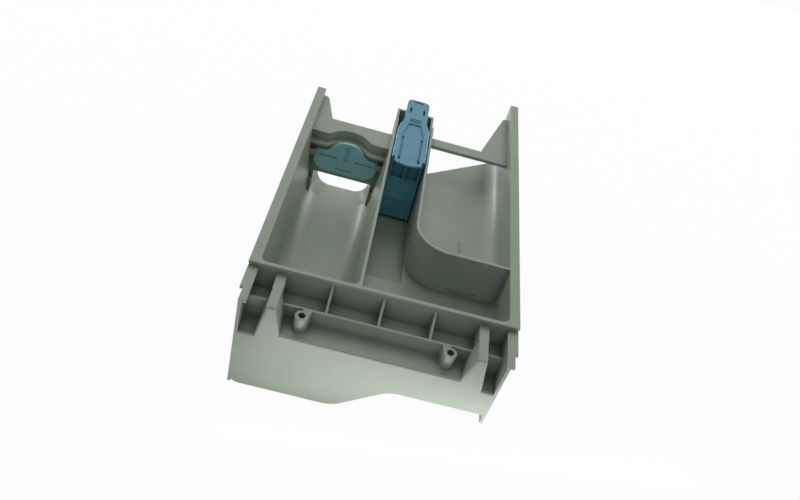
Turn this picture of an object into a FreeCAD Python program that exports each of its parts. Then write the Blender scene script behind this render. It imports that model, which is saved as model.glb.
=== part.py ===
import FreeCAD, Part
import math
import os
import Sketcher

# Washing machine detergent drawer: a moulded tray with three compartments, a siphon cap and a liquid gate.
# Millimetres. X runs across the drawer, Y from its front to its back, Z up. The origin lies in the middle
# of the overall box, at the height of the lowest edge of the front panel.

SIZES = {
    # Overall, and the rails that carry the drawer in its housing
    "width": 180,
    "length": 314,
    "height": 85.5,
    "wall": 2,
    "rail_width": 7,
    "rail_thickness": 2.4,
    "left_rail_short": 58,
    "strip_depth": 14,
    # Dividers, measured from the middle of the drawer to the middle of each wall
    "divider_left": 17.5,
    "divider_right": 13.3,
    # Main wash compartment, with depths below the rim and distances behind the front wall
    "main_length": 190,
    "main_depth_front": 52,
    "main_depth_gate": 70.5,
    "main_depth_rear": 73,
    "main_lean": 0.09,
    "outlet_lean": 0.16,
    "main_bottom_round": 12,
    "front_corner_round": 4.5,
    # Softener compartment and its siphon channel
    "softener_length": 54,
    "softener_depth": 39,
    "softener_round": 6,
    "channel_slope_length": 130,
    "channel_depth": 58.5,
    "divider_length": 210,
    "channel_length": 242,
    "channel_rear_drop": 10,
    "mark_width": 27,
    "mark_height": 10,
    "mark_drop": 28,
    "mark_depth": 0.8,
    "mark_from_middle": 56.7,
    # Prewash compartment, cut off at a slant at the back
    "prewash_depth_front": 30,
    "prewash_depth_rear": 38,
    "prewash_lean": 0.05,
    "prewash_corner_round": 24,
    "prewash_bottom_round": 12,
    "prewash_left_length": 186,
    "prewash_right_length": 246,
    # Roof plate, finger scallop, ledge and hood over the main outlet
    "hood_at": 168,
    "hood_drop": 45,
    "plate_drop": 5,
    "plate_thickness": 2.2,
    "scallop_width": 34,
    "scallop_depth": 10,
    "scallop_round": 5,
    "ledge_drop": 13,
    "ledge_thickness": 2.2,
    "ledge_reach": 5.5,
    "left_flare_length": 32,
    "left_flare_width": 13,
    "flare_tip_round": 4,
    # Cross bar and corner web over the prewash outlet
    "bar_at": 196,
    "bar_depth": 11,
    "bar_drop": 9,
    "bar_thickness": 3,
    "right_flare_length": 64,
    "right_flare_width": 24,
    # Front section: side cheeks, front panel with its teeth, ribs, partition, cells and bosses
    "front_depth": 31,
    "lip_reach": 0.6,
    "cheek_inset": 2,
    "right_cheek_inset": 4.3,
    "cheek_drop": 4,
    "cheek_flange_length": 20,
    "cheek_right_bottom": 66,
    "panel_thickness": 2,
    "panel_top": 28.5,
    "panel_shoulder": 34,
    "panel_right_bottom": 57,
    "panel_step_start": 15.5,
    "panel_step_end": 19,
    "panel_step_round": 22,
    "panel_corner_round": 8,
    "tooth_top": 5,
    "tooth_tip_width": 5.9,
    "tooth_foot_width": 16,
    "tooth_round": 1.3,
    "rib_spacing": 135,
    "rib_width": 6.5,
    "partition_at": 14.5,
    "partition_top": 16,
    "thin_wall": 1.6,
    "cell_depth": 22,
    "bay_depth": 35,
    "middle_bay_depth": 29,
    "fin_spacing": 34.4,
    "fin_top": 4.5,
    "boss_spacing": 97.6,
    "boss_at": 20.7,
    "boss_diameter": 8.8,
    "boss_bore": 4.8,
    "boss_tip": 6,
    # Siphon standpipe in the channel, with the nozzle below the floor
    "pipe_at": 188,
    "pipe_diameter": 13,
    "pipe_bore": 9,
    "pipe_top": 20,
    "nozzle_length": 9,
    # Siphon cap, shaped like a bottle seen from above
    "cap_clearance": 0.8,
    "cap_front": 147,
    "cap_length": 89,
    "cap_wall": 1.6,
    "cap_rise": 1.5,
    "cap_shoulder_drop": 36,
    "cap_brow_drop": 21,
    "cap_slope": 5,
    "cap_edge_round": 1.2,
    "sleeve_gap": 2,
    "inlet_height": 3.5,
    "bottle_body_length": 44,
    "shoulder_length": 13.2,
    "neck_width": 19.2,
    "tab_overhang": 7.2,
    "tab_thickness": 3.8,
    "tab_round": 5,
    "brow_reach": 6,
    "brow_bow": 4.3,
    "brow_round": 20,
    "brow_inset": 2.6,
    "label_inset": 4.7,
    "label_length": 58,
    "label_shoulder": 17,
    "label_top_width": 10.4,
    "label_depth": 1.1,
    "slit_width": 1.9,
    "slit_depth": 2,
    "slit_length": 36,
    "neck_slit_spacing": 11.6,
    "neck_slit_length": 9,
    "tab_slit_width": 8,
    "tab_slit_inset": 4.5,
    "grip_bar_pitch": 2.2,
    "recess_height": 19,
    "recess_depth": 4,
    "post_width": 1.6,
    # Liquid gate and the lugs that guide it
    "flap_clearance": 0.6,
    "flap_thickness": 2.4,
    "flap_width": 52.4,
    "flap_top": 20.5,
    "flap_bottom": 40,
    "flap_corner_round": 11,
    "flap_tab_top": 9,
    "flap_tab_tip_width": 14,
    "flap_tab_foot_width": 34,
    "flap_tab_round": 12,
    "flap_root_round": 9,
    "groove_depth": 0.9,
    "groove_width": 1.2,
    "groove_drop": 4,
    "grip_width": 3,
    "grip_length": 13,
    "foot_bar_width": 14,
    "lug_overlap": 1.6,
    "lug_thickness": 2.6,
    "upper_lug_length": 5,
    "lower_lug_top": 50,
    "lower_lug_length": 13,
}

doc = FreeCAD.newDocument("detergent_drawer")
dim = doc.addObject("Spreadsheet::Sheet", "dim")
for row, (alias, value) in enumerate(SIZES.items(), 1):
    cell = "A" + str(row)
    dim.set(cell, str(value))
    dim.setAlias(cell, alias)
doc.recompute()

# Places that many pieces share, as expressions on the sheet
RIM = "dim.height"
FRONT = "(dim.front_depth - dim.length / 2)"
LEFT = "(dim.rail_width - dim.width / 2)"
RIGHT = "(dim.width / 2 - dim.rail_width)"
MAIN_RIGHT = "(-dim.divider_left - dim.wall / 2)"
CHANNEL_LEFT = "(-dim.divider_left + dim.wall / 2)"
CHANNEL_RIGHT = "(dim.divider_right - dim.wall / 2)"
PREWASH_LEFT = "(dim.divider_right + dim.wall / 2)"
MAIN_MIDDLE = f"(({LEFT} + {MAIN_RIGHT}) / 2)"
CHANNEL_MIDDLE = f"(({CHANNEL_LEFT} + {CHANNEL_RIGHT}) / 2)"
OVER = "1"


def behind(distance):
    return f"({FRONT} + {distance})"


def ahead(distance):
    return f"({FRONT} - ({distance}))"


def below(distance):
    return f"({RIM} - ({distance}))"


def box(name, x, y, z):
    solid = doc.addObject("Part::Box", name)
    for side, axis, (low, high) in (("Length", "x", x), ("Width", "y", y), ("Height", "z", z)):
        solid.setExpression("Placement.Base." + axis, low)
        solid.setExpression(side, f"{high} - {low}")
    return solid


def cylinder(name, x, y, z, radius):
    solid = doc.addObject("Part::Cylinder", name)
    solid.setExpression("Placement.Base.x", x)
    solid.setExpression("Placement.Base.y", y)
    solid.setExpression("Placement.Base.z", z[0])
    solid.setExpression("Height", f"{z[1]} - {z[0]}")
    solid.setExpression("Radius", radius)
    return solid


def lying_cylinder(name, x, y, z, radius):
    solid = doc.addObject("Part::Cylinder", name)
    solid.Placement = FreeCAD.Placement(FreeCAD.Vector(), FreeCAD.Rotation(FreeCAD.Vector(1, 0, 0), -90))
    solid.setExpression("Placement.Base.x", x)
    solid.setExpression("Placement.Base.y", y[0])
    solid.setExpression("Placement.Base.z", z)
    solid.setExpression("Height", f"{y[1]} - {y[0]}")
    solid.setExpression("Radius", radius)
    return solid


def draw_polygon(sketch, points):
    """Closed outline whose corners are tied to the sheet, one pair of expressions each."""
    first = sketch.GeometryCount
    count = len(points)
    turn = 2 * math.pi / count
    spots = [FreeCAD.Vector(math.cos(turn * i), math.sin(turn * i), 0) for i in range(count)]
    for i in range(count):
        sketch.addGeometry(Part.LineSegment(spots[i], spots[(i + 1) % count]))
    for i in range(count):
        sketch.addConstraint(Sketcher.Constraint("Coincident", first + i, 2, first + (i + 1) % count, 1))
    for i, (across, up) in enumerate(points):
        for kind, letter, start, expression in (
            ("DistanceX", "x", spots[i].x, across),
            ("DistanceY", "y", spots[i].y, up),
        ):
            index = sketch.addConstraint(Sketcher.Constraint(kind, -1, 1, first + i, 1, start))
            name = letter + str(first + i)
            sketch.renameConstraint(index, name)
            sketch.setExpression("Constraints." + name, expression)


PLANES = {
    "XY": ("z", FreeCAD.Rotation()),
    "XZ": ("y", FreeCAD.Rotation(FreeCAD.Vector(1, 0, 0), 90)),
    "YZ": ("x", FreeCAD.Rotation(FreeCAD.Vector(1, 1, 1), 120)),
}
AXES = {"x": FreeCAD.Vector(1, 0, 0), "y": FreeCAD.Vector(0, 1, 0), "z": FreeCAD.Vector(0, 0, 1)}


def outline(name, plane, place, points):
    axis, rotation = PLANES[plane]
    sketch = doc.addObject("Sketcher::SketchObject", name)
    sketch.Placement = FreeCAD.Placement(FreeCAD.Vector(), rotation)
    sketch.setExpression("Placement.Base." + axis, place)
    draw_polygon(sketch, points)
    return sketch


def prism(name, plane, span, points):
    low, high = span
    solid = doc.addObject("Part::Extrusion", name)
    solid.Base = outline(name + "_outline", plane, low, points)
    solid.DirMode = "Custom"
    solid.Dir = AXES[PLANES[plane][0]]
    solid.setExpression("LengthFwd", f"{high} - {low}")
    solid.Solid = True
    return solid


def fuse(name, shapes):
    whole = doc.addObject("Part::MultiFuse", name)
    whole.Shapes = shapes
    return whole


def cut(name, base, tools):
    rest = doc.addObject("Part::Cut", name)
    rest.Base = base
    rest.Tool = tools[0] if len(tools) == 1 else fuse(name + "_tools", tools)
    return rest


def common(name, shapes):
    shared = doc.addObject("Part::MultiCommon", name)
    shared.Shapes = shapes
    return shared


def corners(shape):
    """Box around the corner points of a shape or an edge."""
    around = FreeCAD.BoundBox()
    for vertex in shape.Vertexes:
        around.add(vertex.Point)
    return around


def rounded(name, base, radius, chosen):
    """Fillet on the edges that the test picks out, given each edge's box and the whole shape's."""
    doc.recompute()
    around = corners(base.Shape)
    fillet = doc.addObject("Part::Fillet", name)
    fillet.Base = base
    fillet.Edges = [
        (number, radius, radius)
        for number, edge in enumerate(base.Shape.Edges, 1)
        if chosen(corners(edge), around)
    ]
    return fillet


def near(a, b):
    return abs(a - b) < 0.01


def runs_along(edge, axis):
    spans = {"x": edge.XLength, "y": edge.YLength, "z": edge.ZLength}
    return spans[axis] > 0.8 * edge.DiagonalLength


def is_side_bottom(edge, around):
    return runs_along(edge, "y") and edge.ZMax < around.Center.z


def is_front_edge(edge, around):
    return near(edge.YMax, around.YMin) and not near(edge.ZMin, around.ZMax)


def is_bottom_edge(edge, around):
    return near(edge.ZMax, around.ZMin)


def trough(name, x, y, depths, lean, grow, top):
    """Drafted tub: leaning sides, cut to the fall of its floor; grow turns the inner form into the outer."""
    left = f"({x[0]} - {grow})"
    right = f"({x[1]} + {grow})"
    reach = f"({depths[0]} + {depths[1]})"
    sides = prism(name + "_sides", "XZ", y, (
        (f"{left} - {lean} * {top}", f"{RIM} + {top}"),
        (f"{right} + {lean} * {top}", f"{RIM} + {top}"),
        (f"{right} - {lean} * {reach}", below(reach)),
        (f"{left} + {lean} * {reach}", below(reach)),
    ))
    fall = prism(name + "_fall", "YZ", (f"({left} - {OVER})", f"({right} + {OVER})"), (
        (y[0], f"{RIM} + {top}"),
        (y[0], below(f"{depths[0]} + {grow}")),
        (y[1], below(f"{depths[1]} + {grow}")),
        (y[1], f"{RIM} + {top}"),
    ))
    return common(name, [sides, fall])


def mouth(name, x, y, depths, leans, grow, top):
    """Short end of a tub whose sides lean in further towards its rear."""
    sections = []
    for end, place, depth, lean in zip(("front", "rear"), y, depths, leans):
        left = f"({x[0]} - {grow})"
        right = f"({x[1]} + {grow})"
        flat = below(f"{depth} + {grow}")
        sections.append(outline(f"{name}_{end}", "XZ", place, (
            (f"{left} - {lean} * {top}", f"{RIM} + {top}"),
            (f"{right} + {lean} * {top}", f"{RIM} + {top}"),
            (f"{right} - {lean} * ({depth} + {grow})", flat),
            (f"{left} + {lean} * ({depth} + {grow})", flat),
        )))
    solid = doc.addObject("Part::Loft", name)
    solid.Sections = sections
    solid.Solid = True
    solid.Ruled = True
    return solid


def main_tub(name, grow, top, front, rear):
    """Main wash compartment: a long trough, then a short mouth that narrows to the outlet."""
    across = (LEFT, MAIN_RIGHT)
    gate = behind("dim.hood_at + dim.wall")
    extra = dim.wall if grow != "0" else 0
    long_part = trough(
        name + "_long", across, (front, gate),
        ("dim.main_depth_front", "dim.main_depth_gate"), "dim.main_lean", grow, top,
    )
    outlet = mouth(
        name + "_mouth", across, (gate, rear),
        ("dim.main_depth_gate", "dim.main_depth_rear"), ("dim.main_lean", "dim.outlet_lean"), grow, top,
    )
    long_part = rounded(name + "_keel", long_part, dim.main_bottom_round + extra, is_side_bottom)
    long_part = rounded(name + "_nose", long_part, dim.front_corner_round + extra, is_front_edge)
    outlet = rounded(name + "_lips", outlet, dim.main_bottom_round + extra, is_side_bottom)
    return [long_part, outlet]


main_outer = main_tub("main_outer", "dim.wall", "0", FRONT, behind("dim.main_length"))
main_core = main_tub("main_core", "0", OVER, behind("dim.wall"), behind(f"dim.main_length + {OVER}"))


# Softener compartment: a wide pan across the front right, and the siphon channel that runs back from it
channel_across = (CHANNEL_LEFT, CHANNEL_RIGHT)
pan_end = behind("dim.softener_length")
channel_outer = [
    trough(
        "channel_outer_start", channel_across, (FRONT, pan_end),
        ("dim.softener_depth", "dim.softener_depth"), "0", "dim.wall", "0",
    ),
    trough(
        "channel_outer_slope", channel_across, (pan_end, behind("dim.channel_slope_length")),
        ("dim.softener_depth", "dim.channel_depth"), "0", "dim.wall", "0",
    ),
    trough(
        "channel_outer_level", channel_across,
        (behind("dim.channel_slope_length"), behind("dim.channel_length")),
        ("dim.channel_depth", "dim.channel_depth"), "0", "dim.wall", "0",
    ),
]
channel_core = [
    trough(
        "channel_core_start", channel_across, (behind("dim.wall + dim.softener_round"), pan_end),
        ("dim.softener_depth", "dim.softener_depth"), "0", "0", OVER,
    ),
    trough(
        "channel_core_slope", channel_across, (pan_end, behind("dim.channel_slope_length")),
        ("dim.softener_depth", "dim.channel_depth"), "0", "0", OVER,
    ),
    trough(
        "channel_core_level", channel_across,
        (behind("dim.channel_slope_length"), behind("dim.channel_length - dim.wall")),
        ("dim.channel_depth", "dim.channel_depth"), "0", "0", OVER,
    ),
]
pan_outer = box(
    "pan_outer", (CHANNEL_LEFT, f"({RIGHT} + dim.wall)"), (FRONT, behind("dim.softener_length + dim.wall")),
    (below("dim.softener_depth + dim.wall"), RIM),
)
pan_core = box(
    "pan_core", (CHANNEL_LEFT, RIGHT), (behind("dim.wall"), pan_end),
    (below("dim.softener_depth"), f"({RIM} + {OVER})"),
)


def is_pan_corner(edge, around):
    if near(edge.XMax, around.XMin) or near(edge.YMin, around.YMax):
        return False
    upright = runs_along(edge, "z") and near(edge.XMin, around.XMax)
    return upright or is_bottom_edge(edge, around)


pan_core = rounded("pan_core_rounds", pan_core, dim.softener_round, is_pan_corner)

# The rounded corner of the prewash wall, seen from the softener side
corner_reach = "(dim.prewash_corner_round + dim.wall)"
corner_x = (CHANNEL_RIGHT, f"({CHANNEL_RIGHT} + {corner_reach})")
corner_y = (pan_end, behind(f"dim.softener_length + {corner_reach}"))
corner_outer = box(
    "corner_outer", corner_x, corner_y, (below("dim.softener_depth + dim.wall"), RIM),
)
corner_core = cut(
    "corner_core",
    box(
        "corner_core_block", (CHANNEL_MIDDLE, corner_x[1]),
        (behind("dim.softener_length - dim.wall"), corner_y[1]),
        (below("dim.softener_depth"), f"({RIM} + {OVER})"),
    ),
    [cylinder(
        "corner_core_round", corner_x[1], corner_y[1],
        (below("dim.softener_depth + dim.wall"), f"({RIM} + 2 * {OVER})"), corner_reach,
    )],
)

# Half-moon mark sunk into the wall behind the pan, just above the floor
mark_radius = "((dim.mark_width ^ 2 / 4 + dim.mark_height ^ 2) / (2 * dim.mark_height))"
mark_y = (behind("dim.softener_length - dim.softener_round"), behind("dim.softener_length + dim.mark_depth"))
mark_z = (below("dim.mark_drop + dim.mark_height"), below("dim.mark_drop"))
pan_mark = common("pan_mark", [
    lying_cylinder(
        "pan_mark_disc", "dim.mark_from_middle", mark_y, f"({mark_z[0]} + {mark_radius})", mark_radius,
    ),
    box(
        "pan_mark_lower",
        ("(dim.mark_from_middle - dim.mark_width)", "(dim.mark_from_middle + dim.mark_width)"),
        mark_y, mark_z,
    ),
])


def prewash_tub(name, grow, top, front, rear):
    """Shallow prewash compartment with one large rounded corner beside the channel."""
    extra = dim.wall if grow != "0" else 0
    solid = trough(
        name + "_tub", (PREWASH_LEFT, RIGHT), (front, rear),
        ("dim.prewash_depth_front", "dim.prewash_depth_rear"), "dim.prewash_lean", grow, top,
    )
    solid = rounded(
        name + "_corner", solid, dim.prewash_corner_round + extra,
        lambda edge, around: is_front_edge(edge, around) and edge.XMax < around.Center.x,
    )
    return rounded(
        name + "_keel", solid, dim.prewash_bottom_round + extra,
        lambda edge, around: is_side_bottom(edge, around) and edge.XMin > around.Center.x,
    )


prewash_rear = behind("dim.prewash_right_length")
prewash_outer = cut(
    "prewash_outer",
    prewash_tub("prewash_skin", "dim.wall", "0", behind("dim.softener_length"), prewash_rear),
    [prism(
        "prewash_slant", "XY", (below("dim.prewash_depth_rear + 2 * dim.wall"), f"({RIM} + {OVER})"),
        (
            (f"{CHANNEL_RIGHT} - {OVER}", behind("dim.prewash_left_length")),
            (f"{RIGHT} + dim.wall + {OVER}", prewash_rear),
            (f"{RIGHT} + dim.wall + {OVER}", f"{prewash_rear} + dim.wall"),
            (f"{CHANNEL_RIGHT} - {OVER}", f"{prewash_rear} + dim.wall"),
        ),
    )],
)
prewash_core = prewash_tub(
    "prewash_core", "0", OVER, behind("dim.softener_length + dim.wall"), f"({prewash_rear} + {OVER})",
)

# Rails: flanges along the rim, each with a strip of side wall that goes on behind the compartments
left_end = behind("dim.length - dim.front_depth - dim.left_rail_short")
right_end = behind("dim.length - dim.front_depth")
rails = [
    box("left_rail", ("-dim.width / 2", LEFT), (FRONT, left_end), (below("dim.rail_thickness"), RIM)),
    box("right_rail", (RIGHT, "dim.width / 2"), (FRONT, right_end), (below("dim.rail_thickness"), RIM)),
    box("left_strip", (f"({LEFT} - dim.wall)", LEFT), (FRONT, left_end), (below("dim.strip_depth"), RIM)),
    box(
        "right_strip", (RIGHT, f"({RIGHT} + dim.wall)"), (FRONT, right_end), (below("dim.strip_depth"), RIM),
    ),
]

# Front section. The tray's front wall carries a lip; cheeks, ribs, floors and the panel stand ahead of it
cheek_out = "(dim.width / 2 - dim.cheek_inset)"
right_cheek_out = "(dim.width / 2 - dim.right_cheek_inset)"
bay_floor = below("dim.bay_depth + dim.wall")
panel_front = ahead("dim.front_depth")
panel_back = f"({panel_front} + dim.panel_thickness)"
front_wall = box(
    "front_wall", (f"(-{cheek_out})", cheek_out), (FRONT, behind("dim.wall")), (bay_floor, RIM),
)
front_lip = box(
    "front_lip", ("-dim.width / 2", "dim.width / 2"), (ahead("dim.lip_reach"), behind("dim.wall")),
    (below("dim.rail_thickness"), RIM),
)
cheeks = []
for side, sign, reach, bottom in (
    ("left", "-1", cheek_out, "0"), ("right", "1", right_cheek_out, below("dim.cheek_right_bottom")),
):
    inner = f"({sign} * ({reach} - dim.wall))"
    outer = f"({sign} * {reach})"
    lip_edge = f"({sign} * {cheek_out})"
    root = f"({sign} * {RIGHT})"
    edge = f"({sign} * dim.width / 2)"
    flange_z = (below("dim.cheek_drop + dim.rail_thickness"), below("dim.cheek_drop"))
    flange_front = ahead("dim.cheek_flange_length")
    for name, across, along, height in (
        ("cheek", (inner, outer), (panel_front, behind("dim.wall")), (bottom, below("dim.cheek_drop"))),
        ("cheek_lip", (root, lip_edge), (panel_front, flange_front), flange_z),
        ("cheek_flange", (root, edge), (flange_front, FRONT), flange_z),
    ):
        span = across if sign == "1" else (across[1], across[0])
        cheeks.append(box(f"{side}_{name}", span, along, height))

rib_middle = "(dim.rib_spacing / 2)"
tooth_tip = "(dim.tooth_tip_width / 2)"
tooth_foot = "(dim.tooth_foot_width / 2)"
panel = prism("panel_plate", "XZ", (panel_front, panel_back), (
    (f"-{cheek_out}", "0"),
    ("-dim.panel_step_start", "0"),
    ("dim.panel_step_end", below("dim.panel_right_bottom")),
    (right_cheek_out, below("dim.panel_right_bottom")),
    (right_cheek_out, below("dim.panel_shoulder")),
    (f"{rib_middle} + {tooth_foot}", below("dim.panel_shoulder")),
    (f"{rib_middle} + {tooth_tip}", below("dim.tooth_top")),
    (f"{rib_middle} - {tooth_tip}", below("dim.tooth_top")),
    (f"{rib_middle} - {tooth_foot}", below("dim.panel_top")),
    (f"-{rib_middle} + {tooth_foot}", below("dim.panel_top")),
    (f"-{rib_middle} + {tooth_tip}", below("dim.tooth_top")),
    (f"-{rib_middle} - {tooth_tip}", below("dim.tooth_top")),
    (f"-{rib_middle} - {tooth_foot}", below("dim.panel_shoulder")),
    (f"-{cheek_out}", below("dim.panel_shoulder")),
))
doc.recompute()
step_left = -dim.panel_step_start
step_right = dim.panel_step_end
step_high = dim.height - dim.panel_right_bottom


def is_panel_step(edge, around):
    if not runs_along(edge, "y"):
        return False
    place = edge.Center
    low = near(place.x, step_left) and near(place.z, 0)
    high = near(place.x, step_right) and near(place.z, step_high)
    return low or high


def is_panel_corner(edge, around):
    return runs_along(edge, "y") and near(edge.XMax, around.XMin) and near(edge.ZMax, around.ZMin)


def is_tooth_edge(edge, around):
    on_front = near(edge.YMax, around.YMin)
    return on_front and edge.ZMin > around.ZMax - dim.panel_shoulder


panel = rounded("panel_swept", panel, dim.panel_step_round, is_panel_step)
panel = rounded("panel_cornered", panel, dim.panel_corner_round, is_panel_corner)
panel = rounded("panel_eased", panel, dim.tooth_round, is_tooth_edge)

bay_along = (panel_back, ahead("dim.partition_at"))
middle_floor = below("dim.middle_bay_depth + dim.wall")
bays = [
    box(
        "partition", (f"(-{cheek_out})", right_cheek_out),
        (ahead("dim.partition_at + dim.thin_wall / 2"), ahead("dim.partition_at - dim.thin_wall / 2")),
        (bay_floor, below("dim.partition_top")),
    ),
    box(
        "cell_floor", (f"(-{cheek_out})", right_cheek_out), (ahead("dim.partition_at"), FRONT),
        (below("dim.cell_depth + dim.wall"), below("dim.cell_depth")),
    ),
    box(
        "left_bay_floor", (f"(-{cheek_out})", f"(-{rib_middle})"), bay_along,
        (bay_floor, below("dim.bay_depth")),
    ),
    box(
        "right_bay_floor", (rib_middle, right_cheek_out), bay_along, (bay_floor, below("dim.bay_depth")),
    ),
    box(
        "middle_bay_floor", (f"(-{rib_middle})", rib_middle), bay_along,
        (middle_floor, below("dim.middle_bay_depth")),
    ),
]
for side, sign in (("left", "-1"), ("right", "1")):
    middle = f"({sign} * {rib_middle})"
    bays.append(box(
        side + "_rib", (f"({middle} - dim.rib_width / 2)", f"({middle} + dim.rib_width / 2)"),
        (ahead("dim.partition_at"), FRONT), (bay_floor, below("dim.tooth_top")),
    ))
    bays.append(prism(side + "_tooth_back", "XZ", bay_along, (
        (f"{middle} - {sign} * {tooth_foot}", bay_floor),
        (f"{middle} + {sign} * {tooth_foot}", bay_floor),
        (f"{middle} + {sign} * {tooth_foot}", below("dim.panel_shoulder")),
        (f"{middle} + {sign} * {tooth_tip}", below("dim.tooth_top")),
        (f"{middle} - {sign} * {tooth_tip}", below("dim.tooth_top")),
        (f"{middle} - {sign} * {tooth_foot}", below("dim.panel_top")),
    )))
    boss_x = f"({sign} * dim.boss_spacing / 2)"
    boss_y = ahead("dim.boss_at")
    boss_span = (middle_floor, below("dim.partition_top"))
    bays.append(cylinder(side + "_boss", boss_x, boss_y, boss_span, "dim.boss_diameter / 2"))
    bays.append(prism(side + "_boss_web", "XY", boss_span, (
        (boss_x, boss_y),
        (boss_x, ahead("dim.partition_at")),
        (f"{boss_x} - {sign} * dim.boss_tip", ahead("dim.partition_at")),
        (f"{boss_x} - {sign} * dim.boss_diameter / 2", boss_y),
    )))
for name, step in (("left_fin", "-1"), ("middle_fin", "0"), ("right_fin", "1")):
    middle = f"({step} * dim.fin_spacing)"
    bays.append(prism(
        name, "YZ", (f"({middle} - dim.thin_wall / 2)", f"({middle} + dim.thin_wall / 2)"),
        (
            (FRONT, below("dim.fin_top")),
            (FRONT, below("dim.cell_depth + dim.wall / 2")),
            (ahead("dim.partition_at"), below("dim.cell_depth + dim.wall / 2")),
            (ahead("dim.partition_at"), below("dim.partition_top")),
        ),
    ))
boss_bores = [
    cylinder(
        side + "_boss_bore", f"({sign} * dim.boss_spacing / 2)", ahead("dim.boss_at"),
        (f"({bay_floor} - {OVER})", below(f"dim.partition_top - {OVER}")), "dim.boss_bore / 2",
    )
    for side, sign in (("left", "-1"), ("right", "1"))
]

# Roof over the main outlet: plate, apron and ledge share one finger scallop; the hood hangs below them
hood_front = behind("dim.hood_at")
roof_back = behind("dim.main_length")
ledge_front = behind("dim.hood_at - dim.ledge_reach")
ledge_bottom = below("dim.ledge_drop + dim.ledge_thickness")
roof_x = (f"({LEFT} - dim.wall / 2)", f"({MAIN_RIGHT} + dim.wall / 2)")
scallop_radius = "((dim.scallop_width ^ 2 / 4 + dim.scallop_depth ^ 2) / (2 * dim.scallop_depth))"
scallop_middle = f"(dim.hood_at + dim.scallop_depth - {scallop_radius})"
above_roof = below(f"dim.plate_drop - {OVER}")
under_roof = f"({ledge_bottom} - {OVER})"
roof = cut(
    "roof",
    box("roof_block", roof_x, (ledge_front, roof_back), (ledge_bottom, below("dim.plate_drop"))),
    [
        box(
            "roof_step", (f"({roof_x[0]} - {OVER})", f"({roof_x[1]} + {OVER})"),
            (f"({ledge_front} - {OVER})", hood_front), (below("dim.ledge_drop"), above_roof),
        ),
        cylinder(
            "plate_scallop", MAIN_MIDDLE, behind(scallop_middle), (below("dim.ledge_drop"), above_roof),
            scallop_radius,
        ),
        cylinder(
            "ledge_scallop", MAIN_MIDDLE, behind(f"{scallop_middle} - dim.ledge_reach"),
            (under_roof, above_roof), scallop_radius,
        ),
        cut(
            "roof_hollow",
            box(
                "roof_hollow_block", (f"({roof_x[0]} - {OVER})", f"({roof_x[1]} + {OVER})"),
                (behind("dim.hood_at + dim.wall"), f"({roof_back} + {OVER})"),
                (under_roof, below("dim.plate_drop + dim.plate_thickness")),
            ),
            [cylinder(
                "roof_hollow_keep", MAIN_MIDDLE, behind(scallop_middle),
                (f"({under_roof} - {OVER})", above_roof), f"({scallop_radius} + dim.wall)",
            )],
        ),
    ],
)
doc.recompute()
ledge_line = corners(roof.Shape).YMin
scallop_lines = (ledge_line, ledge_line + dim.ledge_reach)


def is_scallop_mouth(edge, around):
    at_mouth = near(edge.YMin, scallop_lines[0]) or near(edge.YMin, scallop_lines[1])
    inside = edge.XMin > around.XMin + dim.wall and edge.XMax < around.XMax - dim.wall
    return runs_along(edge, "z") and at_mouth and inside


roof = rounded("roof_scalloped", roof, dim.scallop_round, is_scallop_mouth)
hood = box(
    "hood", roof_x, (hood_front, behind("dim.hood_at + dim.wall")),
    (below("dim.hood_drop"), ledge_bottom),
)
plate_span = (below("dim.plate_drop + dim.plate_thickness"), below("dim.plate_drop"))
left_flare = prism("left_flare", "XY", plate_span, (
    (f"{LEFT} - dim.wall / 2", f"{roof_back} - {OVER}"),
    (f"{LEFT} + dim.left_flare_width", f"{roof_back} - {OVER}"),
    (f"{LEFT} + dim.left_flare_width", roof_back),
    (f"{LEFT} + 2 * dim.wall", f"{roof_back} + dim.left_flare_length"),
    (f"{LEFT} - dim.wall / 2", f"{roof_back} + dim.left_flare_length"),
))


def is_flare_tip(edge, around):
    at_tip = near(edge.YMin, around.YMax)
    return runs_along(edge, "z") and at_tip and near(edge.XMin, flare_tip_x)


flare_tip_x = dim.rail_width - dim.width / 2 + 2 * dim.wall
left_flare = rounded("left_flare_tip", left_flare, dim.flare_tip_round, is_flare_tip)

# Cross bar and long corner web behind the prewash compartment
bar_back = behind("dim.bar_at + dim.bar_depth")
bar_bottom = below("dim.bar_drop + dim.bar_thickness")
bar = box(
    "cross_bar", (CHANNEL_RIGHT, f"({RIGHT} + dim.wall / 2)"), (behind("dim.bar_at"), bar_back),
    (bar_bottom, below("dim.bar_drop")),
)
right_flare = prism("right_flare", "XY", (bar_bottom, below("dim.bar_drop")), (
    (f"{RIGHT} + dim.wall / 2", f"{bar_back} - {OVER}"),
    (f"{RIGHT} + dim.wall / 2", f"{bar_back} + dim.right_flare_length"),
    (f"{RIGHT} - 2 * dim.wall", f"{bar_back} + dim.right_flare_length"),
    (f"{RIGHT} - dim.right_flare_width", bar_back),
    (f"{RIGHT} - dim.right_flare_width", f"{bar_back} - {OVER}"),
))

flare_tip_x = dim.width / 2 - dim.rail_width - 2 * dim.wall
right_flare = rounded("right_flare_tip", right_flare, dim.flare_tip_round, is_flare_tip)

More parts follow.
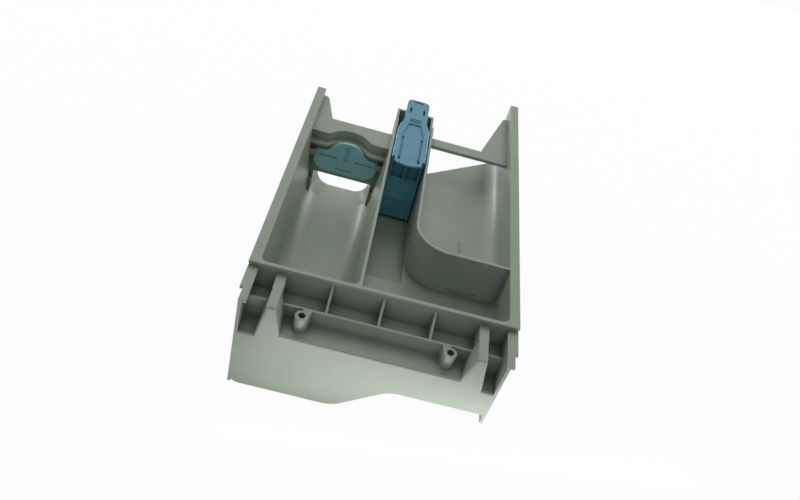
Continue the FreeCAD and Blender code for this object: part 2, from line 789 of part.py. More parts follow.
# Guide lugs for the gate: pairs on both walls, in front of it and behind it
flap_front = "(dim.hood_at - dim.flap_clearance - dim.flap_thickness)"
lug_inner = "(dim.flap_width / 2 - dim.lug_overlap)"
lug_front = (behind(f"{flap_front} - dim.flap_clearance - dim.lug_thickness"),
             behind(f"{flap_front} - dim.flap_clearance"))
lug_rear = (hood_front, behind("dim.hood_at + dim.wall"))
lower_lug = (below("dim.lower_lug_top + dim.lower_lug_length"), below("dim.lower_lug_top"))
upper_lug = (below("dim.flap_top + dim.upper_lug_length"), below("dim.flap_top"))
rear_lug = (below("dim.lower_lug_top + dim.lower_lug_length"), below("dim.hood_drop - dim.wall"))
lugs = []
for side, sign in (("left", "-1"), ("right", "1")):
    inner = f"({MAIN_MIDDLE} + {sign} * {lug_inner})"
    outer = f"({MAIN_MIDDLE} + {sign} * dim.width / 4)"
    across = (outer, inner) if sign == "-1" else (inner, outer)
    for place, depth, height in (
        ("upper", lug_front, upper_lug), ("lower", lug_front, lower_lug), ("rear", lug_rear, rear_lug),
    ):
        lugs.append(common(
            f"{side}_{place}_lug", [main_outer[0], box(f"{side}_{place}_lug_block", across, depth, height)],
        ))

# Siphon standpipe, with its nozzle below the channel floor
pipe_y = behind("dim.pipe_at")
nozzle_end = below("dim.channel_depth + dim.wall + dim.nozzle_length")
pipe = cylinder(
    "standpipe", CHANNEL_MIDDLE, pipe_y, (nozzle_end, below("dim.pipe_top")), "dim.pipe_diameter / 2",
)
pipe_bore = cylinder(
    "standpipe_bore", CHANNEL_MIDDLE, pipe_y,
    (f"({nozzle_end} - {OVER})", below(f"dim.pipe_top - {OVER}")), "dim.pipe_bore / 2",
)
channel_notch = box(
    "channel_notch", (f"({CHANNEL_LEFT} - 2 * dim.wall)", f"({CHANNEL_RIGHT} + 2 * dim.wall)"),
    (behind("dim.divider_length"), behind(f"dim.channel_length + {OVER}")),
    (below("dim.channel_rear_drop"), f"({RIM} + {OVER})"),
)

# The tray as one moulding
skins = fuse("tray_skins", [
    *main_outer, *channel_outer, pan_outer, corner_outer, *rails, front_wall, front_lip, *cheeks, panel,
])
hollowed = cut("tray_hollowed", skins, [*main_core, *channel_core, pan_core, corner_core, pan_mark])
with_prewash = cut("tray_with_prewash", fuse("tray_joined", [hollowed, prewash_outer]), [prewash_core])
furnished = fuse("tray_furnished", [
    with_prewash, *bays, roof, hood, left_flare, bar, right_flare, *lugs, pipe,
])
tray = cut("drawer_tray", furnished, [*boss_bores, pipe_bore, channel_notch])
tray.Label = "drawer_tray"
tray.Refine = True
doc.recompute()


def plane_of(body, role):
    return next(feature for feature in body.Origin.OriginFeatures if feature.Role == role)


def body_sketch(body, name, role, place):
    sketch = body.newObject("Sketcher::SketchObject", name)
    sketch.AttachmentSupport = [(plane_of(body, role), "")]
    sketch.MapMode = "FlatFace"
    sketch.setExpression("AttachmentOffset.Base.z", place)
    return sketch


def pad(body, sketch, length, reverse=False):
    feature = body.newObject("PartDesign::Pad", sketch.Name + "_pad")
    feature.Profile = sketch
    feature.Reversed = reverse
    feature.setExpression("Length", length)
    sketch.Visibility = False
    doc.recompute()
    return feature


def pocket(body, sketch, length, reverse=False):
    before = body.Shape.Volume
    feature = body.newObject("PartDesign::Pocket", sketch.Name + "_pocket")
    feature.Profile = sketch
    feature.Reversed = reverse
    feature.setExpression("Length", length)
    doc.recompute()
    if body.Shape.Volume >= before:
        raise RuntimeError(feature.Name + " removes nothing")
    return feature


def body_fillet(body, name, radius, chosen):
    base = body.Tip
    around = corners(base.Shape)
    edges = [
        "Edge" + str(number)
        for number, edge in enumerate(base.Shape.Edges, 1)
        if chosen(corners(edge), around)
    ]
    feature = body.newObject("PartDesign::Fillet", name)
    feature.Base = (base, edges)
    feature.setExpression("Radius", radius)
    doc.recompute()
    return feature


def rectangle(x, y):
    return ((x[0], y[0]), (x[1], y[0]), (x[1], y[1]), (x[0], y[1]))


def both_sides(middle, half):
    return (f"({middle} - {half})", f"({middle} + {half})")


# Siphon cap: a hollow cap that stands on the channel floor, with the outline of a bottle seen from above
cap = doc.addObject("PartDesign::Body", "siphon_cap")
cap.Label = "siphon_cap"
cap_x = (f"({CHANNEL_LEFT} + dim.cap_clearance)", f"({CHANNEL_RIGHT} - dim.cap_clearance)")
cap_half = f"(({cap_x[1]} - {cap_x[0]}) / 2)"
neck_half = "(dim.neck_width / 2)"
cap_front = behind("dim.cap_front")
cap_face = f"({cap_front} + dim.cap_slope)"
cap_back = behind("dim.cap_front + dim.cap_length")
cap_foot = below("dim.channel_depth")
cap_top = f"({RIM} + dim.cap_rise)"
taper_start = f"({cap_face} + dim.bottle_body_length)"
neck_start = f"({taper_start} + dim.shoulder_length)"
cap_body = body_sketch(cap, "cap_side", "YZ_Plane", cap_x[0])
draw_polygon(cap_body, (
    (cap_front, cap_foot),
    (cap_front, below("dim.cap_shoulder_drop")),
    (cap_face, below("dim.cap_brow_drop")),
    (cap_face, cap_top),
    (cap_back, cap_top),
    (cap_back, cap_foot),
))
pad(cap, cap_body, f"{cap_x[1]} - {cap_x[0]}")
body_fillet(
    cap, "cap_edges", "dim.cap_edge_round",
    lambda edge, around: not near(edge.ZMax, around.ZMin) and not runs_along(edge, "x"),
)
for name, sign in (("left_shoulder", "-1"), ("right_shoulder", "1")):
    shoulder = body_sketch(cap, name, "XY_Plane", f"{cap_top} + {OVER}")
    draw_polygon(shoulder, (
        (f"{CHANNEL_MIDDLE} + {sign} * {cap_half}", taper_start),
        (f"{CHANNEL_MIDDLE} + {sign} * ({cap_half} + {OVER})", taper_start),
        (f"{CHANNEL_MIDDLE} + {sign} * ({cap_half} + {OVER})", f"{cap_back} + {OVER}"),
        (f"{CHANNEL_MIDDLE} + {sign} * {neck_half}", f"{cap_back} + {OVER}"),
        (f"{CHANNEL_MIDDLE} + {sign} * {neck_half}", neck_start),
    ))
    pocket(cap, shoulder, f"{cap_top} - {cap_foot} + 2 * {OVER}")

cap_hollow = body_sketch(cap, "cap_hollow", "XY_Plane", cap_foot)
hollow_front = f"({cap_face} + dim.cap_wall + dim.recess_depth)"
wide = both_sides(CHANNEL_MIDDLE, f"({cap_half} - dim.cap_wall)")
narrow = both_sides(CHANNEL_MIDDLE, f"({neck_half} - dim.cap_wall)")
draw_polygon(cap_hollow, (
    (wide[0], hollow_front),
    (wide[1], hollow_front),
    (wide[1], f"{taper_start} - dim.cap_wall / 2"),
    (narrow[1], f"{neck_start} - dim.cap_wall / 2"),
    (narrow[1], f"{cap_back} - dim.cap_wall"),
    (narrow[0], f"{cap_back} - dim.cap_wall"),
    (narrow[0], f"{neck_start} - dim.cap_wall / 2"),
    (wide[0], f"{taper_start} - dim.cap_wall / 2"),
))
pocket(cap, cap_hollow, f"{cap_top} - {cap_foot} - 2 * dim.cap_wall", reverse=True)
cap_throat = body_sketch(cap, "cap_throat", "XY_Plane", cap_foot)
draw_polygon(cap_throat, rectangle(wide, (f"{cap_front} + dim.cap_wall", f"{hollow_front} + dim.cap_wall")))
pocket(cap, cap_throat, f"{below('dim.cap_shoulder_drop')} - {cap_foot} - dim.cap_wall", reverse=True)
cap_inlet = body_sketch(cap, "cap_inlet", "XZ_Plane", f"-{cap_front}")
draw_polygon(cap_inlet, rectangle(wide, (cap_foot, f"{cap_foot} + dim.inlet_height")))
pocket(cap, cap_inlet, "2 * dim.cap_wall")

# Brow over the front of the cap, with two recesses and a post below it
brow_x = both_sides(CHANNEL_MIDDLE, f"({cap_half} - dim.brow_inset)")
brow_front = f"({cap_face} - dim.brow_reach)"
brow = body_sketch(cap, "cap_brow", "XY_Plane", cap_top)
draw_polygon(brow, (
    (brow_x[0], f"{cap_face} + dim.cap_wall"),
    (brow_x[0], brow_front),
    (CHANNEL_MIDDLE, f"{brow_front} - dim.brow_bow"),
    (brow_x[1], brow_front),
    (brow_x[1], f"{cap_face} + dim.cap_wall"),
))
pad(cap, brow, "dim.cap_wall", reverse=True)
brow_line = corners(brow.Shape).YMin
body_fillet(
    cap, "brow_sweep", "dim.brow_round",
    lambda edge, around: runs_along(edge, "z") and near(edge.YMax, brow_line),
)
for name, sign in (("left_recess", "-1"), ("right_recess", "1")):
    recess = body_sketch(cap, name, "XZ_Plane", f"-{cap_face}")
    recess_high = f"({cap_top} - dim.cap_wall)"
    recess_low = f"({recess_high} - dim.recess_height)"
    recess_side = brow_x[0] if sign == "-1" else brow_x[1]
    draw_polygon(recess, (
        (f"{CHANNEL_MIDDLE} + {sign} * dim.post_width / 2", recess_low),
        (recess_side, recess_low),
        (recess_side, recess_high),
        (f"{CHANNEL_MIDDLE} + {sign} * dim.post_width", recess_high),
    ))
    pocket(cap, recess, "dim.recess_depth")

# Neck and finger tab, which reach back over the rear wall of the channel
neck = body_sketch(cap, "cap_neck", "XY_Plane", cap_top)
neck_x = both_sides(CHANNEL_MIDDLE, neck_half)
tab_end = f"({cap_back} + dim.tab_overhang)"
draw_polygon(neck, rectangle(neck_x, (f"{cap_back} - dim.cap_wall", tab_end)))
pad(cap, neck, "dim.tab_thickness", reverse=True)
body_fillet(
    cap, "tab_corners", "dim.tab_round",
    lambda edge, around: runs_along(edge, "z") and near(edge.YMin, around.YMax),
)

# Sunk label on the top, slits beside it and in the neck and tab, grip bars between label and neck
label_half = f"({cap_half} - dim.label_inset)"
label_x = both_sides(CHANNEL_MIDDLE, label_half)
label_top_x = both_sides(CHANNEL_MIDDLE, "(dim.label_top_width / 2)")
label_start = f"({brow_front} + dim.brow_inset)"
label_front = f"({label_start} - dim.brow_bow / 2)"
label_back = f"({label_front} + dim.label_length)"
label = body_sketch(cap, "cap_label", "XY_Plane", cap_top)
draw_polygon(label, (
    (label_x[0], label_start),
    (CHANNEL_MIDDLE, label_front),
    (label_x[1], label_start),
    (label_x[1], f"{label_back} - dim.label_shoulder"),
    (label_top_x[1], label_back),
    (label_top_x[0], label_back),
    (label_x[0], f"{label_back} - dim.label_shoulder"),
))
pocket(cap, label, "dim.label_depth")
slit_depth = "dim.slit_depth"
for name, sign in (("left", "-1"), ("right", "1")):
    slit = body_sketch(cap, name + "_slit", "XY_Plane", cap_top)
    line = f"({CHANNEL_MIDDLE} + {sign} * ({label_half} - dim.slit_width / 2))"
    draw_polygon(slit, rectangle(
        both_sides(line, "dim.slit_width / 2"),
        (f"{label_start} + dim.slit_width", f"{label_start} + dim.slit_length"),
    ))
    pocket(cap, slit, slit_depth)
    neck_slit = body_sketch(cap, name + "_neck_slit", "XY_Plane", cap_top)
    line = f"({CHANNEL_MIDDLE} + {sign} * dim.neck_slit_spacing / 2)"
    neck_slit_back = f"({tab_end} - 3 * dim.tab_slit_inset)"
    draw_polygon(neck_slit, rectangle(
        both_sides(line, "dim.slit_width / 2"), (f"{neck_slit_back} - dim.neck_slit_length", neck_slit_back),
    ))
    pocket(cap, neck_slit, slit_depth)
tab_slit = body_sketch(cap, "tab_slit", "XY_Plane", cap_top)
draw_polygon(tab_slit, rectangle(
    both_sides(CHANNEL_MIDDLE, "dim.tab_slit_width / 2"),
    (f"{tab_end} - dim.tab_slit_inset", f"{tab_end} - dim.tab_slit_inset + dim.slit_width"),
))
pocket(cap, tab_slit, slit_depth)
grip_bars = body_sketch(cap, "grip_bars", "XY_Plane", cap_top)
for number in ("1", "2", "3"):
    bar_front = f"({label_back} + {number} * dim.grip_bar_pitch)"
    draw_polygon(grip_bars, rectangle(label_top_x, (bar_front, f"{bar_front} + dim.grip_bar_pitch / 2")))
pocket(cap, grip_bars, "dim.label_depth")

# Sleeve around the standpipe, hanging from the roof of the cap
sleeve = body_sketch(cap, "cap_sleeve", "XY_Plane", f"{cap_top} - 1.5 * dim.cap_wall")
for index, radius in enumerate((
    "dim.pipe_diameter / 2 + dim.sleeve_gap",
    "dim.pipe_diameter / 2 + dim.sleeve_gap + dim.cap_wall",
)):
    sleeve.addGeometry(Part.Circle(FreeCAD.Vector(), FreeCAD.Vector(0, 0, 1), index + 1))
    for kind, name, expression in (
        ("DistanceX", "x", CHANNEL_MIDDLE), ("DistanceY", "y", pipe_y),
    ):
        number = sleeve.addConstraint(Sketcher.Constraint(kind, -1, 1, index, 3, 1))
        sleeve.renameConstraint(number, name + str(index))
        sleeve.setExpression("Constraints." + name + str(index), expression)
    number = sleeve.addConstraint(Sketcher.Constraint("Radius", index, index + 1))
    sleeve.renameConstraint(number, "radius" + str(index))
    sleeve.setExpression("Constraints.radius" + str(index), radius)
pad(cap, sleeve, f"{cap_top} - 1.5 * dim.cap_wall - {cap_foot} - 2 * dim.inlet_height", reverse=True)

# Liquid gate: a flat plate with rounded lower corners, a finger tab on top, and moulded grooves in its face
flap = doc.addObject("PartDesign::Body", "detergent_flap")
flap.Label = "detergent_flap"
flap_half = "(dim.flap_width / 2)"
flap_tab_tip = "(dim.flap_tab_tip_width / 2)"
flap_tab_foot = "(dim.flap_tab_foot_width / 2)"
flap_face = behind(flap_front)
plate = body_sketch(flap, "flap_plate", "XZ_Plane", f"-{flap_face}")
draw_polygon(plate, (
    (f"{MAIN_MIDDLE} - {flap_half}", below("dim.flap_bottom")),
    (f"{MAIN_MIDDLE} + {flap_half}", below("dim.flap_bottom")),
    (f"{MAIN_MIDDLE} + {flap_half}", below("dim.flap_top")),
    (f"{MAIN_MIDDLE} + {flap_tab_foot}", below("dim.flap_top")),
    (f"{MAIN_MIDDLE} + {flap_tab_tip}", below("dim.flap_tab_top")),
    (f"{MAIN_MIDDLE} - {flap_tab_tip}", below("dim.flap_tab_top")),
    (f"{MAIN_MIDDLE} - {flap_tab_foot}", below("dim.flap_top")),
    (f"{MAIN_MIDDLE} - {flap_half}", below("dim.flap_top")),
))
pad(flap, plate, "dim.flap_thickness", reverse=True)


def is_flap_corner(edge, low, high):
    return runs_along(edge, "y") and near(edge.ZMin, low) and near(edge.ZMax, high)


flap_low = corners(flap.Shape).ZMin
flap_high = corners(flap.Shape).ZMax
flap_line = dim.height - dim.flap_top
body_fillet(
    flap, "flap_lower_corners", "dim.flap_corner_round",
    lambda edge, around: is_flap_corner(edge, flap_low, flap_low),
)
body_fillet(
    flap, "flap_tab_corners", "dim.flap_tab_round",
    lambda edge, around: is_flap_corner(edge, flap_high, flap_high),
)
body_fillet(
    flap, "flap_tab_roots", "dim.flap_root_round",
    lambda edge, around: is_flap_corner(edge, flap_line, flap_line)
    and edge.XMin > around.XMin + 1 and edge.XMax < around.XMax - 1,
)
groove_top = below("dim.flap_top + dim.groove_drop")
groove_span = (f"{groove_top} - dim.groove_width", groove_top)
groove_end = f"({flap_half} - dim.lug_overlap - dim.wall)"
grip_top = below("dim.flap_tab_top + dim.groove_drop")
foot_low = below("dim.flap_bottom - dim.groove_drop")
grooves = (
    ("left_groove", (f"{MAIN_MIDDLE} - {groove_end}", f"{MAIN_MIDDLE} - {flap_tab_tip}"), groove_span),
    ("right_groove", (f"{MAIN_MIDDLE} + {flap_tab_tip}", f"{MAIN_MIDDLE} + {groove_end}"), groove_span),
    (
        "grip_groove", (f"{MAIN_MIDDLE} - dim.grip_width / 2", f"{MAIN_MIDDLE} + dim.grip_width / 2"),
        (f"{grip_top} - dim.grip_length", grip_top),
    ),
    (
        "foot_groove", (f"{MAIN_MIDDLE} - dim.foot_bar_width / 2", f"{MAIN_MIDDLE} + dim.foot_bar_width / 2"),
        (foot_low, f"{foot_low} + dim.groove_width"),
    ),
)
for name, across, height in grooves:
    groove = body_sketch(flap, name, "XZ_Plane", f"-{flap_face}")
    draw_polygon(groove, rectangle(across, height))
    pocket(flap, groove, "dim.groove_depth")

doc.recompute()
NODES = [tray, cap, flap]
for thing in doc.Objects:
    if "Invalid" in thing.State or "Error" in thing.State:
        raise RuntimeError(f"{thing.Name}: {thing.State}")
for node in NODES:
    if node.Shape.isNull() or not node.Shape.isValid():
        raise RuntimeError(node.Label + " has no valid shape")
os.makedirs("parts", exist_ok=True)
for node in NODES:
    node.Shape.exportStep(f"parts/{node.Label}.step")
    print(node.Label, len(node.Shape.Solids), "solid", round(node.Shape.Volume), node.Shape.BoundBox)
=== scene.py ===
import bmesh
import bpy
from mathutils import Matrix, Vector


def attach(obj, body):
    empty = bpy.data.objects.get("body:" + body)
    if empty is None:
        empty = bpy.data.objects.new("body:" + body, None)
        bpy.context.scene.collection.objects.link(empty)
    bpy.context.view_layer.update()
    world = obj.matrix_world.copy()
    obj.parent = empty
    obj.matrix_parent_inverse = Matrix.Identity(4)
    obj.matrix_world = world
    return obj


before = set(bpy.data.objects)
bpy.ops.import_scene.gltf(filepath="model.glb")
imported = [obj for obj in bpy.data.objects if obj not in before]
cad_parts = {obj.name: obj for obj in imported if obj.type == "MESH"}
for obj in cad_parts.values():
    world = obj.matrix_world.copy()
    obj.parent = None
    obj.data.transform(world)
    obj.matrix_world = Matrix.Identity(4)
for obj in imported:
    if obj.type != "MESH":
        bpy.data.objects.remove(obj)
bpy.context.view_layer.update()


# The drawer tray: one injection moulding in grey-green polypropylene, satin from the mould, with
# three compartments, rails, front cells and bosses. Its edges are eased and paler, partly from rubbing
# and partly as a painted highlight, and its nooks are darkened with painted shade.
tray_light = (0.405, 0.464, 0.386)
tray_deep = (0.352, 0.412, 0.334)
tray_edge = (0.600, 0.655, 0.580)
tray_gloss = (0.36, 0.42)


def polypropylene(name, light, deep, edge, gloss, grain, rounding, milky, nook):
    """Moulded polypropylene: faint clouds and flow lines, paler edges that are partly rubbing and partly
    a painted highlight, nooks darkened with painted shade, fine mould grain, and a milky share of light
    that passes into the wall."""
    finish = bpy.data.materials.new(name)
    finish.use_nodes = True
    nodes = finish.node_tree.nodes
    links = finish.node_tree.links
    first_colour, second_colour, mixed_colour = 6, 7, 2
    plastic = nodes["Principled BSDF"]
    plastic.inputs["IOR"].default_value = 1.49
    plastic.inputs["Subsurface Weight"].default_value = milky
    plastic.inputs["Subsurface Radius"].default_value = (0.5, 0.9, 1)
    plastic.inputs["Subsurface Scale"].default_value = 0.004
    place = nodes.new("ShaderNodeTexCoord")

    clouds = nodes.new("ShaderNodeTexNoise")
    clouds.inputs["Scale"].default_value = 24
    clouds.inputs["Detail"].default_value = 4
    links.new(place.outputs["Object"], clouds.inputs["Vector"])
    along_flow = nodes.new("ShaderNodeMapping")
    along_flow.inputs["Scale"].default_value = (230, 14, 60)
    links.new(place.outputs["Object"], along_flow.inputs["Vector"])
    flow = nodes.new("ShaderNodeTexNoise")
    flow.inputs["Scale"].default_value = 1
    flow.inputs["Detail"].default_value = 3
    links.new(along_flow.outputs["Vector"], flow.inputs["Vector"])
    together = nodes.new("ShaderNodeMix")
    together.inputs["Factor"].default_value = 0.18
    links.new(clouds.outputs["Fac"], together.inputs["A"])
    links.new(flow.outputs["Fac"], together.inputs["B"])
    tone = nodes.new("ShaderNodeValToRGB")
    tone.color_ramp.elements[0].position = 0.32
    tone.color_ramp.elements[0].color = (*deep, 1)
    tone.color_ramp.elements[1].position = 0.68
    tone.color_ramp.elements[1].color = (*light, 1)
    links.new(together.outputs["Result"], tone.inputs["Fac"])

    eased = nodes.new("ShaderNodeBevel")
    eased.samples = 8
    eased.inputs["Radius"].default_value = rounding
    surface = nodes.new("ShaderNodeNewGeometry")
    turned = nodes.new("ShaderNodeVectorMath")
    turned.operation = "DOT_PRODUCT"
    links.new(eased.outputs["Normal"], turned.inputs[0])
    links.new(surface.outputs["Normal"], turned.inputs[1])
    # Paler edges: partly rubbing wear, partly a painted highlight where the rounded edges would catch
    # the light.
    rubbed_and_highlit = nodes.new("ShaderNodeMapRange")
    rubbed_and_highlit.inputs["From Min"].default_value = 0.99
    rubbed_and_highlit.inputs["From Max"].default_value = 0.78
    links.new(turned.outputs["Value"], rubbed_and_highlit.inputs["Value"])
    nooks = nodes.new("ShaderNodeAmbientOcclusion")
    nooks.only_local = True
    nooks.samples = 8
    nooks.inputs["Distance"].default_value = nook
    reached = nodes.new("ShaderNodeMapRange")
    reached.inputs["From Min"].default_value = 0.6
    reached.inputs["From Max"].default_value = 0.9
    links.new(nooks.outputs["AO"], reached.inputs["Value"])
    worn_and_highlit = nodes.new("ShaderNodeMath")
    worn_and_highlit.operation = "MULTIPLY"
    links.new(rubbed_and_highlit.outputs["Result"], worn_and_highlit.inputs[0])
    links.new(reached.outputs["Result"], worn_and_highlit.inputs[1])
    colour = nodes.new("ShaderNodeMix")
    colour.data_type = "RGBA"
    links.new(worn_and_highlit.outputs["Value"], colour.inputs["Factor"])
    links.new(tone.outputs["Color"], colour.inputs[first_colour])
    colour.inputs[second_colour].default_value = (*edge, 1)
    # Painted shade: the colour is darkened where the ambient occlusion finds a nook, standing in for the
    # shade that falls there.
    painted_shade_level = nodes.new("ShaderNodeMapRange")
    painted_shade_level.inputs["From Min"].default_value = 0.3
    painted_shade_level.inputs["From Max"].default_value = 0.9
    painted_shade_level.inputs["To Min"].default_value = 0.4
    painted_shade_level.inputs["To Max"].default_value = 1
    links.new(nooks.outputs["AO"], painted_shade_level.inputs["Value"])
    shaded_colour = nodes.new("ShaderNodeMix")
    shaded_colour.data_type = "RGBA"
    shaded_colour.blend_type = "MULTIPLY"
    shaded_colour.inputs["Factor"].default_value = 1
    links.new(colour.outputs[mixed_colour], shaded_colour.inputs[first_colour])
    links.new(painted_shade_level.outputs["Result"], shaded_colour.inputs[second_colour])
    links.new(shaded_colour.outputs[mixed_colour], plastic.inputs["Base Color"])

    shine = nodes.new("ShaderNodeMapRange")
    shine.inputs["From Min"].default_value = 0.3
    shine.inputs["From Max"].default_value = 0.7
    shine.inputs["To Min"].default_value = gloss[0]
    shine.inputs["To Max"].default_value = gloss[1]
    links.new(clouds.outputs["Fac"], shine.inputs["Value"])
    links.new(shine.outputs["Result"], plastic.inputs["Roughness"])

    sparks = nodes.new("ShaderNodeTexNoise")
    sparks.inputs["Scale"].default_value = 1900
    sparks.inputs["Detail"].default_value = 2
    links.new(place.outputs["Object"], sparks.inputs["Vector"])
    relief = nodes.new("ShaderNodeBump")
    relief.inputs["Strength"].default_value = grain
    relief.inputs["Distance"].default_value = 0.0001
    links.new(sparks.outputs["Fac"], relief.inputs["Height"])
    links.new(eased.outputs["Normal"], relief.inputs["Normal"])
    links.new(relief.outputs["Normal"], plastic.inputs["Normal"])
    return finish


def dress(node, finish):
    """Gives a moulding of the frame its finish."""
    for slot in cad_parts[node].material_slots:
        slot.material = finish


tray_plastic = polypropylene(
    "satin_grey_tray", tray_light, tray_deep, tray_edge, tray_gloss,
    grain=0.25, rounding=0.0008, milky=0, nook=0.009,
)
dress("drawer_tray", tray_plastic)


# The rail ties: a small web on either side, moulded with the tray, that stands under the front end of
# the rail and joins it to the lower flange of the front section.
tie_size = (0.0064, 0.0034, 0.0026)
tie_middle = (-0.0866, -0.1242, 0.08195)
tie_foot = 0.0008
tie_ease = 0.0003


def block(name, middle, size):
    """A plain block of the given size, ready to be shaped."""
    bpy.ops.object.select_all(action="DESELECT")
    bpy.ops.mesh.primitive_cube_add(size=1, location=middle)
    piece = bpy.context.object
    piece.name = name
    piece.scale = size
    bpy.ops.object.transform_apply(location=True, rotation=True, scale=True)
    return piece


def pick_faces(piece, wanted):
    """Selects the faces whose normal suits."""
    bpy.context.tool_settings.mesh_select_mode = (False, False, True)
    bpy.ops.mesh.select_all(action="DESELECT")
    shape = bmesh.from_edit_mesh(piece.data)
    for face in shape.faces:
        face.select_set(wanted(face.normal))
    bmesh.update_edit_mesh(piece.data)


def ease(piece, width):
    """Rounds every sharp edge of a finished block."""
    rounding = piece.modifiers.new("eased_edges", "BEVEL")
    rounding.width = width
    rounding.segments = 2
    bpy.ops.object.modifier_apply(modifier=rounding.name)


left_tie = block("left_rail_tie", tie_middle, tie_size)
bpy.ops.object.mode_set(mode="EDIT")
pick_faces(left_tie, lambda normal: normal.z < -0.9)
bpy.ops.mesh.inset(thickness=tie_foot)
bpy.ops.transform.translate(value=(0, 0, -tie_foot))
bpy.ops.object.mode_set(mode="OBJECT")
ease(left_tie, tie_ease)
right_tie = left_tie.copy()
right_tie.data = left_tie.data.copy()
right_tie.name = "right_rail_tie"
bpy.context.scene.collection.objects.link(right_tie)
for corner in right_tie.data.vertices:
    corner.co.x -= 2 * tie_middle[0]
for tie in (left_tie, right_tie):
    tie.data.materials.append(tray_plastic)
    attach(tie, "tray")


# The compartment figure: a plain raised stroke on the prewash floor, moulded with the tray, which
# numbers the compartment. Its sides have draft and its top is eased.
figure_middle = (0.0525, -0.0235, 0.0536)
figure_size = (0.0024, 0.0115, 0.0010)
figure_draft = 0.0005
figure_ease = 0.0002
figure = block("compartment_figure", figure_middle, figure_size)
bpy.ops.object.mode_set(mode="EDIT")
pick_faces(figure, lambda normal: normal.z > 0.9)
bpy.ops.mesh.inset(thickness=figure_draft)
bpy.ops.transform.translate(value=(0, 0, figure_draft))
bpy.ops.object.mode_set(mode="OBJECT")
ease(figure, figure_ease)
figure.data.materials.append(tray_plastic)
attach(figure, "tray")


# The siphon cap: a hollow moulding in blue polypropylene, glossier than the tray, with a sunk panel,
# slits and grip bars on top. It pushes down over the standpipe in the middle channel.
cap_light = (0.135, 0.420, 0.570)
cap_deep = (0.105, 0.360, 0.500)
cap_edge = (0.300, 0.560, 0.700)
cap_gloss = (0.22, 0.32)
cap_plastic = polypropylene(
    "blue_cap", cap_light, cap_deep, cap_edge, cap_gloss,
    grain=0.15, rounding=0.0005, milky=0.2, nook=0.004,
)
dress("siphon_cap", cap_plastic)


# The liquid gate: a thin grooved plate moulded in blue polypropylene, which slides up and down
# in the guides at the rear of the wash compartment and is lifted by its bell-shaped tab.
# Painted light: the gate's colours are lifted paler than its own blue, standing in for light it lacks in
# the shade under the roof.
gate_light = (0.390, 0.740, 0.840)
gate_deep = (0.330, 0.680, 0.790)
gate_edge = (0.480, 0.780, 0.860)
gate_gloss = (0.22, 0.32)
gate_plastic = polypropylene(
    "blue_gate_painted_pale", gate_light, gate_deep, gate_edge, gate_gloss,
    grain=0.15, rounding=0.0004, milky=0.2, nook=0.003,
)
dress("detergent_flap", gate_plastic)


# The studio: a plain white table top that the tray stands on, which keeps a soft shadow, and a white
# surround. Both look white to the lens and in the plastic's shine.
def white_to_the_lens(nodes, links):
    """One where the lens or a shiny surface looks at the surround, nought where it lights the tray."""
    looks = nodes.new("ShaderNodeLightPath")
    seen = nodes.new("ShaderNodeMath")
    seen.operation = "MAXIMUM"
    links.new(looks.outputs["Is Camera Ray"], seen.inputs[0])
    links.new(looks.outputs["Is Glossy Ray"], seen.inputs[1])
    also = nodes.new("ShaderNodeMath")
    also.operation = "MAXIMUM"
    links.new(seen.outputs["Value"], also.inputs[0])
    links.new(looks.outputs["Is Transmission Ray"], also.inputs[1])
    return also.outputs["Value"]


table_width = 40
table_height = -0.0003
table_white = (0.8, 0.8, 0.8, 1)
table_glow = 0.96
shade_light = 0.2
bpy.ops.object.select_all(action="DESELECT")
bpy.ops.mesh.primitive_plane_add(size=table_width, location=(0, 0, table_height))
table_top = bpy.context.object
table_top.name = "table_top"
paper = bpy.data.materials.new("white_table")
paper.use_nodes = True
nodes = paper.node_tree.nodes
links = paper.node_tree.links
nodes["Principled BSDF"].inputs["Base Color"].default_value = table_white
nodes["Principled BSDF"].inputs["Roughness"].default_value = 0.9
glow = nodes.new("ShaderNodeEmission")
share = nodes.new("ShaderNodeMath")
share.operation = "MULTIPLY"
share.inputs[1].default_value = table_glow
links.new(white_to_the_lens(nodes, links), share.inputs[0])
blend = nodes.new("ShaderNodeMixShader")
links.new(share.outputs["Value"], blend.inputs["Fac"])
links.new(nodes["Principled BSDF"].outputs["BSDF"], blend.inputs[1])
links.new(glow.outputs["Emission"], blend.inputs[2])
links.new(blend.outputs["Shader"], nodes["Material Output"].inputs["Surface"])
table_top.data.materials.append(paper)

surround = bpy.data.worlds.new("white_surround")
bpy.context.scene.world = surround
surround.use_nodes = True
nodes = surround.node_tree.nodes
links = surround.node_tree.links
level = nodes.new("ShaderNodeMapRange")
level.inputs["To Min"].default_value = shade_light
level.inputs["To Max"].default_value = 1
links.new(white_to_the_lens(nodes, links), level.inputs["Value"])
links.new(level.outputs["Result"], nodes["Background"].inputs["Strength"])
nodes["Background"].inputs["Color"].default_value = (1, 1, 1, 1)


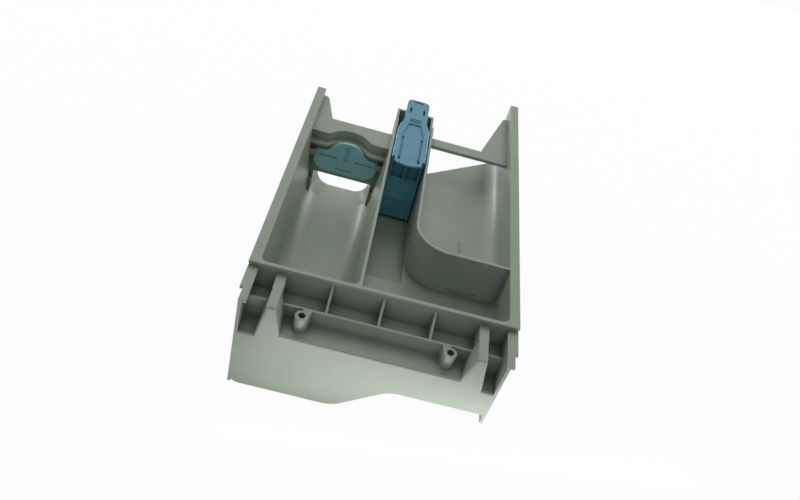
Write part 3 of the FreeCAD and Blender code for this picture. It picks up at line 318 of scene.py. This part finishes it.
# The lamps: a large soft box overhead and behind with a long low one at the rear, which leave the faces
# turned to the front dark, one on either side for the tubs' walls, a weak fill in front, and a low strip
# on the table that stands for its bounce and makes the front panel the palest face.
def soft_box(name, place, aim, size, watts):
    """A rectangular lamp that is turned to its aim and hidden from the lens."""
    lamp = bpy.data.lights.new(name, "AREA")
    lamp.shape = "RECTANGLE"
    lamp.size = size[0]
    lamp.size_y = size[1]
    lamp.energy = watts
    stand = bpy.data.objects.new(name, lamp)
    stand.location = place
    stand.rotation_mode = "QUATERNION"
    stand.rotation_quaternion = (Vector(aim) - Vector(place)).to_track_quat("-Z", "Y")
    stand.visible_camera = False
    bpy.context.scene.collection.objects.link(stand)


tray_middle = (0, 0, 0.05)
tubs_middle = (0, 0.02, 0.05)
side_size = (0.7, 0.5)
side_watts = 0.8
soft_box("overhead_box", (-0.1, 0.55, 1.1), tray_middle, size=(0.8, 0.8), watts=2.2)
soft_box("rear_strip", (0, 0.95, 0.05), (0, 0, 0.04), size=(1.8, 0.08), watts=6.5)
soft_box("front_fill", (0.1, -0.45, 1.2), tray_middle, size=(0.9, 0.9), watts=1.25)
soft_box("left_box", (-0.75, 0.15, 0.5), tubs_middle, side_size, side_watts)
soft_box("right_box", (0.75, 0.15, 0.5), tubs_middle, side_size, side_watts)
soft_box("table_bounce", (0.084, -0.18, 0.002), (0.08, -0.152, 0.04), size=(0.34, 0.036), watts=0.148)


# The camera: above and in front of the drawer, turned on its own axis as in the photograph, with a
# moderately wide lens and the whole frame in focus.
camera_place = (-0.03293, -0.46674, 0.42282)
sensor_width = 36
lens_length = 33.66
right = Vector((0.9655, 0.1134, 0.2343)).normalized()
ahead = Vector((0.0711, 0.7510, -0.6565)).normalized()
upward = right.cross(ahead).normalized()
lens = bpy.data.cameras.new("camera")
lens.sensor_width = sensor_width
lens.lens = lens_length
camera = bpy.data.objects.new("camera", lens)
turn = Matrix((right, upward, -ahead)).transposed().to_4x4()
camera.matrix_world = Matrix.Translation(camera_place) @ turn
bpy.context.scene.collection.objects.link(camera)
bpy.context.scene.camera = camera
bpy.context.scene.view_settings.view_transform = "Standard"
